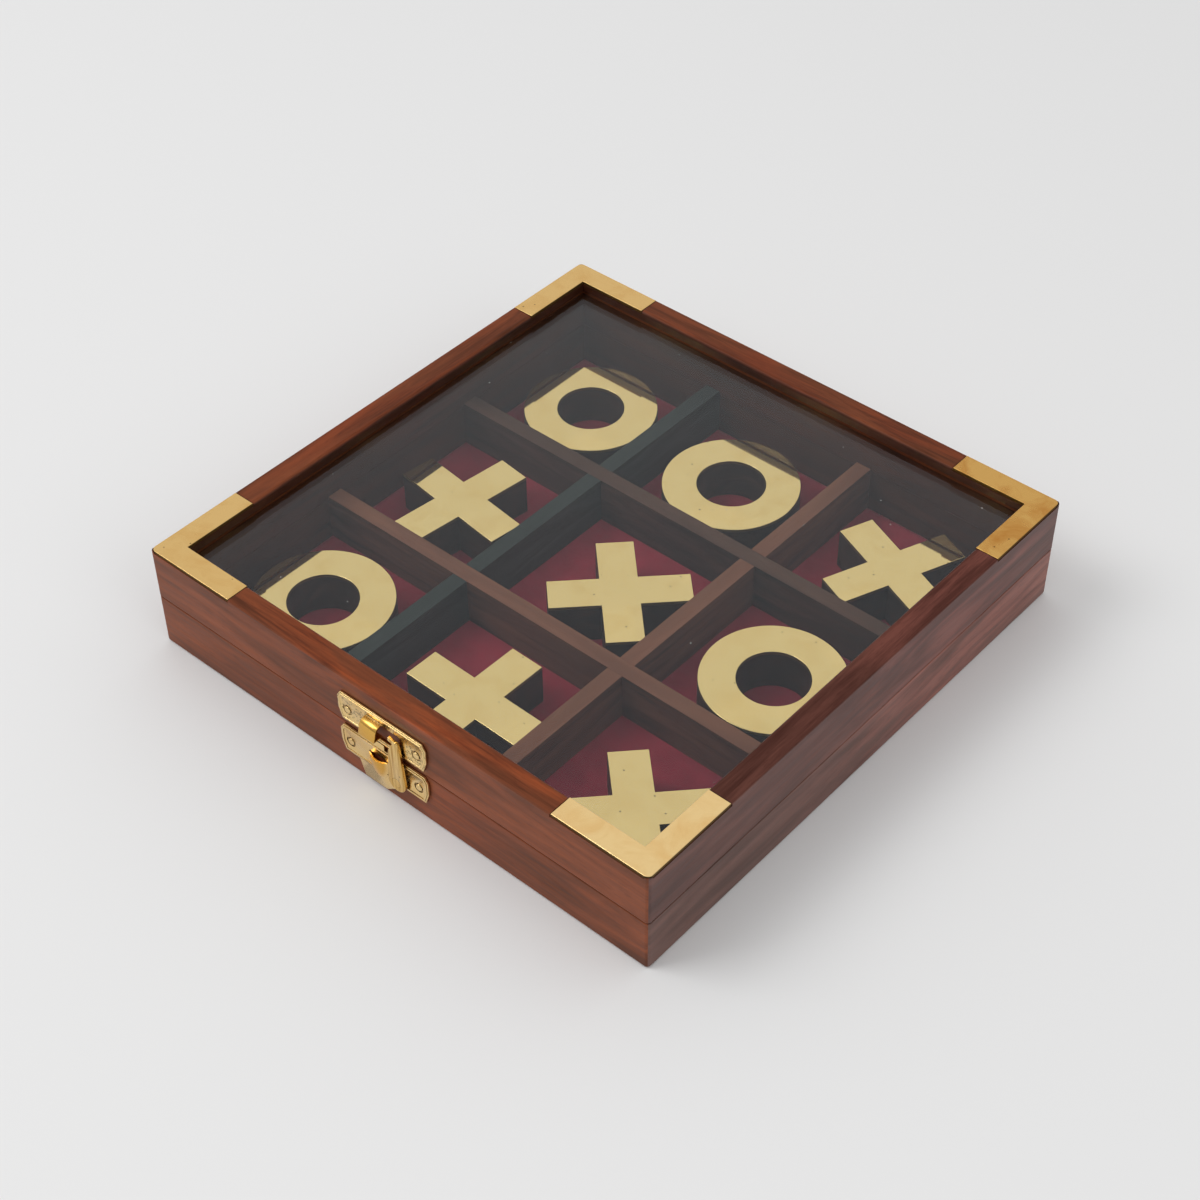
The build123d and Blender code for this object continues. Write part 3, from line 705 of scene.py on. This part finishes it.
@dataclass
class Case:
    """The base of the box: its rails, bottom panel, felt and dividers."""

    felt_side: float = 162.6
    felt_top: float = 3.6
    felt_bottom: float = 2.6
    felt_cells: int = 150
    # The nap is uneven by this much, over waves of this size
    felt_wave: float = 0.12
    felt_wave_size: float = 3.0
    wood: Sheesham = Sheesham("sheesham_case", red_share=0.3)
    # The right rail's own browns and reds, greyed by a painted sheen: the pale room that this side
    # reflects
    greyed_sheen_wood: Sheesham = Sheesham(
        "sheesham_case_grey", dark="4a352e", middle="5f463e", light="72544a",
        red_dark="74453a", red_light="a0665a", red_share=0.9, red_from=0.25,
        heart_at=75.0, heart_reach=120.0, shine=0.4)
    back_divider_wood: Sheesham = Sheesham(
        "sheesham_divider_back", dark="221715", middle="3e2a25", light="523831",
        red_share=0.0, painted_top_shading=0.4, painted_top_shading_colour="6a4a40", painted_inside_shade=0.0)
    # Browns set dark, partly as painted shade on the dividers' sides
    divider_wood: Sheesham = Sheesham(
        "sheesham_divider", dark="2e1b17", middle="59382e", light="704838",
        red_dark="42241b", red_light="683e30", painted_top_shading=0.4, painted_top_shading_colour="96604e",
        painted_inside_shade=0.0)
    # A darker slat of its own; its faint green-grey cast is a painted reflection of the glass's
    # veil
    dark_wood: Sheesham = Sheesham(
        "sheesham_divider_dark", dark="131414", middle="222525", light="333636",
        red_share=0.0, painted_top_shading=0.35, painted_top_shading_colour="474a49", painted_inside_shade=0.0)
    panel_wood: Sheesham = Sheesham(
        "plywood_panel", dark="8a6542", middle="a47d55", light="b98f63",
        red_share=0.0, painted_inside_shade=0.0, shine=0.15, roughness=0.6)

    def rails(self) -> None:
        """Gives the four base rails their wood."""
        for name, grain, cut, wood in (("front", Grain.ALONG_X, 3.0, self.wood),
                                       ("right", Grain.ALONG_Y, 17.0, self.greyed_sheen_wood),
                                       ("back", Grain.ALONG_X, 29.0, self.wood),
                                       ("left", Grain.ALONG_Y, 41.0, self.wood)):
            dress(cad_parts[f"base_{name}_rail"], wood.build(grain, (cut, cut / 2, 1.0)))

    def dividers(self) -> None:
        """Gives the dividers and the bottom panel their wood."""
        for name, grain, wood, cut in (
                ("divider_front", Grain.ALONG_X, self.divider_wood, (53.0, 5.0, 2.0)),
                ("divider_right", Grain.ALONG_Y, self.divider_wood, (61.0, 9.0, 3.0)),
                ("divider_back", Grain.ALONG_X, self.back_divider_wood, (57.0, 7.0, 2.0)),
                ("divider_left", Grain.ALONG_Y, self.dark_wood, (67.0, 9.0, 3.0)),
                ("bottom_panel", Grain.ALONG_X, self.panel_wood, (71.0, 4.0, 5.0))):
            dress(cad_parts[name], wood.build(grain, cut))

    def felt(self) -> None:
        """Lays the felt: a thin sheet with a faintly uneven nap."""
        bm = bmesh.new()
        bmesh.ops.create_grid(bm, x_segments=self.felt_cells, y_segments=self.felt_cells,
                              size=self.felt_side / 2 * MM)
        for vert in bm.verts:
            wave = noise.noise(Vector((vert.co.x, vert.co.y, 0.0)) / (self.felt_wave_size * MM))
            vert.co.z = (self.felt_top - self.felt_wave * (0.5 + 0.5 * wave)) * MM
        lower = bmesh.ops.extrude_face_region(bm, geom=bm.faces[:])["geom"]
        for vert in (item for item in lower if isinstance(item, bmesh.types.BMVert)):
            vert.co.z = self.felt_bottom * MM
        bmesh.ops.recalc_face_normals(bm, faces=bm.faces[:])
        sheet = add_piece("felt_sheet", bm)
        sheet.data.shade_smooth()
        dress(sheet, WoolFelt().build())
        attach(sheet, "base")
        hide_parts("felt_lining")

    def build(self) -> None:
        """Dresses the base and lays the felt."""
        self.rails()
        self.dividers()
        self.felt()


@dataclass
class Lid:
    """The lid: its rails, glass and brass corner plates."""

    wood: Sheesham = Sheesham("sheesham_lid")
    front_wood: Sheesham = Sheesham(
        "sheesham_lid_front", red_dark="6a2a16", red_light="c05a2a", red_share=0.95,
        heart_at=12.0, heart_reach=62.0, heart_bottom=34.0)
    back_wood: Sheesham = Sheesham(
        "sheesham_lid_back", red_share=0.7, heart_at=20.0, heart_reach=80.0)
    side_wood: Sheesham = Sheesham(
        "sheesham_lid_side", dark="452822", middle="593830", light="6d463c",
        red_dark="643a33", red_light="985a50", red_from=0.25, heart_at=75.0,
        heart_reach=120.0, shine=0.45, top_shine=0.02)
    # The corner plates' colours are set as painted reflection, by how much light each plate
    # mirrors: brightest on this one, at the front right, middling on the front left and back left,
    # dimmest at the back right. Their tarnish clouds are the metal's own
    brass: SheetBrass = SheetBrass(
        "buffed_brass_plate", colour="f8d698", tarnish="e2a652", tarnish_share=0.4,
        roughness=0.2, painted_edge_shade=0.9)
    mid_reflection_brass: SheetBrass = SheetBrass(
        "worn_brass_plate", colour="e6bf7c", tarnish="cc9240", tarnish_share=0.4,
        roughness=0.22, painted_edge_shade=0.9)
    dim_reflection_brass: SheetBrass = SheetBrass(
        "clouded_brass_plate", colour="d8aa60", tarnish="b87428", tarnish_share=0.8,
        roughness=0.24, painted_edge_shade=0.9)

    def build(self) -> None:
        """Dresses the lid's rails, glass and corner plates."""
        for name, grain, cut, wood in (("front", Grain.ALONG_X, 5.0, self.front_wood),
                                       ("right", Grain.ALONG_Y, 19.0, self.side_wood),
                                       ("back", Grain.ALONG_X, 31.0, self.back_wood),
                                       ("left", Grain.ALONG_Y, 43.0, self.wood)):
            dress(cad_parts[f"lid_{name}_rail"], wood.build(grain, (cut, cut / 2, 4.0)))
        dress(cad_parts["glass_panel"], WindowGlass().build())
        # The front left and back left plates: brass whose colour is a middling painted reflection
        worn = self.mid_reflection_brass.build()
        for corner, brass in (("front_left", worn), ("front_right", self.brass.build()),
                              ("back_right", self.dim_reflection_brass.build()), ("back_left", worn)):
            dress(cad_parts[f"corner_plate_{corner}"], brass)


@dataclass
class Hardware:
    """The hinges at the back and the clasp at the front."""

    hinge_brass: SheetBrass = SheetBrass(
        "satin_brass_hinge", colour="d8b36c", tarnish="a87c3a", roughness=0.3)
    catch_brass: SheetBrass = SheetBrass(
        "stippled_brass_catch", colour="f2d292", tarnish="d6a252", roughness=0.22,
        stipple=0.9, painted_crevice_shade=1.0, line_depth=0.08, deep_share=0.8)
    latch_brass: SheetBrass = SheetBrass(
        "stamped_brass_latch", colour="f2d292", tarnish="d6a252", roughness=0.22,
        painted_crevice_shade=1.0, line_depth=0.08, deep_share=0.8)
    lever_brass: SheetBrass = SheetBrass(
        "brushed_brass_lever", colour="ecca82", tarnish="b98632", roughness=0.2,
        painted_crevice_shade=0.8, line_depth=0.35, line_share=0.8, grain=Grain.ALONG_Z,
        line=GrainPattern(14.0, 0.55))
    # Before the edges are worn, corners that are this close are joined, and so are faces that
    # turn by no more than this many degrees
    same_corner: float = 0.002
    flat_angle: float = 1.0
    # Edges that turn by more than this are worn round, by this much
    edge_angle: float = 40.0
    edge_wear: float = 0.12
    edge_steps: int = 2
    # Edges that turn by more than this look sharp
    shading_angle: float = 35.0

    def softened(self, node: str, name: str, body: str) -> bpy.types.Object:
        """Makes a copy of a clasp part with its sharp edges worn round, in place of the CAD node.

        Args:
            node: The CAD node.
            name: The new piece's name.
            body: The body that it rides on.

        Returns:
            The new piece.
        """
        bm = bmesh.new()
        bm.from_mesh(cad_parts[node].data)
        bmesh.ops.remove_doubles(bm, verts=bm.verts[:], dist=self.same_corner * MM)
        bmesh.ops.dissolve_limit(bm, angle_limit=radians(self.flat_angle), verts=bm.verts[:],
                                 edges=bm.edges[:])
        sharp = [edge for edge in bm.edges
                 if edge.is_manifold and edge.calc_face_angle() > radians(self.edge_angle)]
        bmesh.ops.bevel(bm, geom=sharp, offset=self.edge_wear * MM, offset_type="OFFSET",
                        affect="EDGES", segments=self.edge_steps, profile=0.5, material=-1,
                        clamp_overlap=True)
        bmesh.ops.triangulate(bm, faces=bm.faces[:])
        piece = add_piece(name, bm)
        piece.data.shade_smooth()
        piece.data.set_sharp_from_angle(angle=radians(self.shading_angle))
        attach(piece, body)
        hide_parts(node)
        return piece

    def build(self) -> None:
        """Dresses the hinges and the clasp."""
        hinge = self.hinge_brass.build()
        catch = self.catch_brass.build()
        latch = self.latch_brass.build()
        lever = self.lever_brass.build()
        for name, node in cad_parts.items():
            if name.startswith("hinge_"):
                dress(node, hinge)
        dress(self.softened("catch_plate", "catch_plate_stamped", "lid"), catch)
        dress(self.softened("latch_plate", "latch_plate_stamped", "base"), latch)
        dress(self.softened("latch_lever", "swing_lever", "lever"), lever)
        for name in ("catch_nails", "latch_nails"):
            dress(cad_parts[name], latch)
        dress(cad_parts["latch_rivet"], lever)


@dataclass
class PlayingPieces:
    """The nine playing pieces: dark wooden blocks with brass faces."""

    wood: Sheesham = Sheesham(
        "sheesham_block", dark="1c110d", middle="2c1b15", light="40281f", red_share=0.0,
        painted_inside_shade=0.0)
    brass: SheetBrass = SheetBrass(
        "polished_brass_face", colour="fbd898", tarnish="f0c67c", roughness=0.04,
        line_depth=0.02, painted_edge_shade=0.85)

    def build(self) -> None:
        """Dresses every block and face."""
        wood = self.wood.build(Grain.ALONG_X, (83.0, 2.0, 8.0))
        brass = self.brass.build()
        for name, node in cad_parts.items():
            if name.endswith("_block"):
                dress(node, wood)
            if name.endswith("_face"):
                dress(node, brass)


@dataclass(frozen=True)
class Lamp:
    """A soft square lamp, aimed at the box, with its place and side in metres and its watts."""

    name: str
    place: tuple[float, float, float]
    side: float
    power: float

    def hang(self) -> None:
        """Hangs the lamp."""
        data = bpy.data.lights.new(self.name, "AREA")
        data.size = self.side
        data.energy = self.power
        lamp = bpy.data.objects.new(self.name, data)
        bpy.context.scene.collection.objects.link(lamp)
        lamp.location = self.place
        lamp.rotation_euler = Vector(self.place).to_track_quat("Z", "Y").to_euler()


@dataclass
class Studio:
    """The floor, lights and camera. The camera is solved from the photograph's corners."""

    # In millimetres and degrees
    target: tuple[float, float, float] = (2.4, -7.1, 12.7)
    distance: float = 620.2
    azimuth: float = 41.40
    elevation: float = 43.40
    roll: float = -0.57
    view_angle: float = 30.27
    sensor: float = 36.0
    # In metres
    clip_start: float = 0.01
    floor_reach: float = 6.0
    background: str = "e5e5e5"
    # Towards the back wall and ceiling the room is bright, towards its near side it is dim
    bright_way: tuple[float, float, float] = (-0.35, 0.45, 0.82)
    lean_span: tuple[float, float] = (-0.5, 0.6)
    levels: tuple[float, float] = (0.22, 0.80)
    lamps: tuple[Lamp, ...] = (Lamp("key_lamp", (-0.9, -0.9, 1.5), 1.0, 13.0),
                               Lamp("side_lamp", (1.2, -0.2, 0.9), 0.8, 2.5))

    def camera(self) -> None:
        """Sets the camera at the photograph's viewing angle."""
        a, e, r = radians(self.azimuth), radians(self.elevation), radians(self.roll)
        back = Vector((sin(a) * cos(e), -cos(a) * cos(e), sin(e)))
        right = Vector((0, 0, 1)).cross(back).normalized()
        up = back.cross(right)
        turned_right = cos(r) * right + sin(r) * up
        turned_up = cos(r) * up - sin(r) * right
        data = bpy.data.cameras.new("camera")
        data.sensor_fit = "HORIZONTAL"
        data.sensor_width = self.sensor
        data.lens = data.sensor_width / 2 / tan(radians(self.view_angle) / 2)
        data.clip_start = self.clip_start
        cam = bpy.data.objects.new("camera", data)
        bpy.context.scene.collection.objects.link(cam)
        place = (Vector(self.target) + back * self.distance) * MM
        turn = Matrix((turned_right, turned_up, back)).transposed().to_4x4()
        cam.matrix_world = Matrix.Translation(place) @ turn
        bpy.context.scene.camera = cam

    def floor(self) -> None:
        """Lays a plain pale floor."""
        bm = bmesh.new()
        bmesh.ops.create_grid(bm, x_segments=1, y_segments=1, size=self.floor_reach)
        floor = add_piece("floor", bm)
        material, tree = new_material("floor_paper")
        shader = add_node(tree, "ShaderNodeBsdfDiffuse", {"Color": srgb(self.background)})
        show(tree, shader.outputs["BSDF"])
        dress(floor, material)

    def world(self) -> None:
        """Gives the room its soft light and its pale background."""
        world = bpy.data.worlds.new("room")
        bpy.context.scene.world = world
        world.use_nodes = True
        tree = world.node_tree
        tree.nodes.clear()
        path = add_node(tree, "ShaderNodeLightPath")
        way = add_node(tree, "ShaderNodeTexCoord").outputs["Generated"]
        lean = add_node(tree, "ShaderNodeVectorMath",
                        {"operation": "DOT_PRODUCT", 1: self.bright_way}, {0: way})
        level = map_range(tree, lean.outputs["Value"], self.lean_span, self.levels)
        room = add_node(tree, "ShaderNodeBackground", {"Color": srgb("ffffff")},
                        {"Strength": level})
        seen = add_node(tree, "ShaderNodeBackground",
                        {"Color": srgb(self.background), "Strength": 1.0})
        mixed = add_node(tree, "ShaderNodeMixShader", {},
                         {0: path.outputs["Is Camera Ray"], 1: room.outputs["Background"],
                          2: seen.outputs["Background"]})
        add_node(tree, "ShaderNodeOutputWorld", {}, {"Surface": mixed.outputs["Shader"]})

    def build(self) -> None:
        """Sets up the floor, room, lamps and camera."""
        self.camera()
        self.floor()
        self.world()
        for lamp in self.lamps:
            lamp.hang()
        bpy.context.scene.view_settings.view_transform = "Standard"


def main() -> None:
    """Builds the studio and dresses the box, piece by piece."""
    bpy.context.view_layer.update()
    for part in (Studio(), Case(), Lid(), Hardware(), PlayingPieces()):
        log.info("building %s", type(part).__name__)
        part.build()


if __name__ == "__main__":
    logging.basicConfig(level=logging.INFO)
    main()
